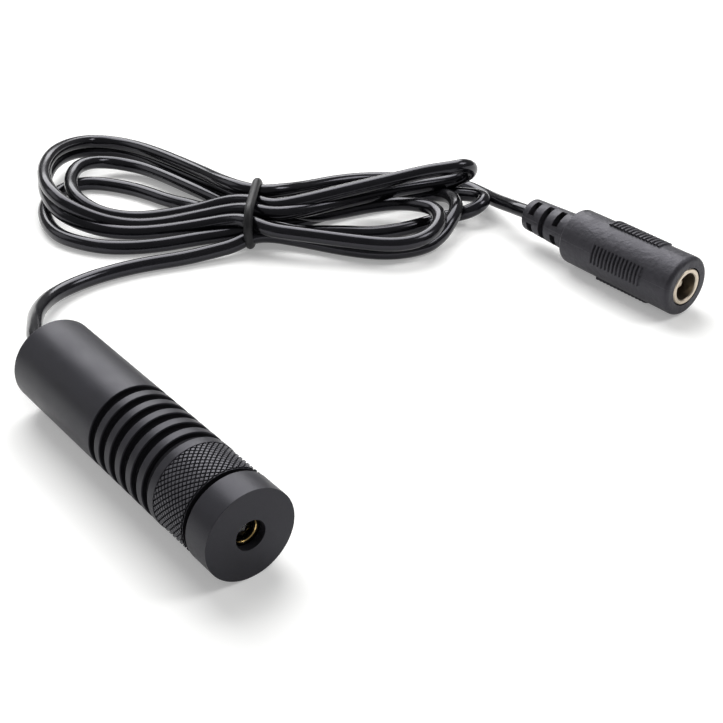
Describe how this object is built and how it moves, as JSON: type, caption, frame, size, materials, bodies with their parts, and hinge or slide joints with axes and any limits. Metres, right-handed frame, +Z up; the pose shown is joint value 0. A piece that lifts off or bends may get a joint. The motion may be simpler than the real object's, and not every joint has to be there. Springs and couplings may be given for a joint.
{
  "type": "laser diode module",
  "caption": "Round black laser diode module with cooling grooves, a knurled focus head, and a tied cord that ends in a moulded power socket.",
  "frame": {"origin": "on the floor, under the middle of the module's length", "axes": "+X along the module's axis, the way the beam leaves; +Z up; +Y towards the tied cord"},
  "size_m": [0.1517, 0.1248, 0.016],
  "materials": {
    "anodised_black": "satin black anodising over turned aluminium",
    "brass": "bare turned brass",
    "gold_plate": "thin gold plate",
    "nickel": "bright nickel plate",
    "spring_steel": "drawn spring wire",
    "lens_glass": "clear moulded glass",
    "board_green": "solder-masked glass-fibre board",
    "chip_black": "moulded epoxy",
    "ferrite": "sintered ferrite",
    "ceramic_tan": "fired ceramic with tinned ends",
    "resistor_black": "glazed top with tinned ends",
    "wire_red": "thin wire insulation",
    "plug_black": "potting resin",
    "cord_black": "glossy soft vinyl",
    "tie_black": "satin soft band",
    "jack_black": "satin moulded vinyl",
    "insulator_black": "moulded nylon"
  },
  "bodies": {
    "module": {"heat_sink_barrel": "anodised_black", "lens_spring": "spring_steel", "diode_holder": "brass", "diode_stem": "gold_plate", "diode_cap": "nickel", "diode_window": "lens_glass", "diode_pins": "gold_plate", "driver_board": "board_green", "driver_ic": "chip_black", "driver_inductor": "ferrite", "driver_capacitors": "ceramic_tan", "driver_resistors": "resistor_black", "rear_plug": "plug_black", "lead_wires": "wire_red", "cord_lead": "cord_black", "cord_hank": "cord_black", "cord_tail": "cord_black", "cord_tie": "tie_black", "jack_housing": "jack_black", "jack_sleeve": "nickel", "jack_insulator": "insulator_black", "jack_pin": "nickel"},
    "lens_group": {"lens_cell": "brass", "collimating_lens": "lens_glass", "lens_retainer": "brass"},
    "head": {"focus_head": "anodised_black"}
  },
  "joints": [
    {"name": "focus_slide", "type": "slide", "parent": "module", "child": "lens_group", "axis": [1, 0, 0], "range_m": [0, 0.00075]},
    {"name": "focus_turn", "type": "hinge", "parent": "lens_group", "child": "head", "pos_m": [0, 0, 0.008], "axis": [1, 0, 0], "range_deg": [0, 540]}
  ],
  "couplings": [
    {"joint": "focus_slide", "follows": "focus_turn", "m_per_rad": 0.00007957}
  ]
}
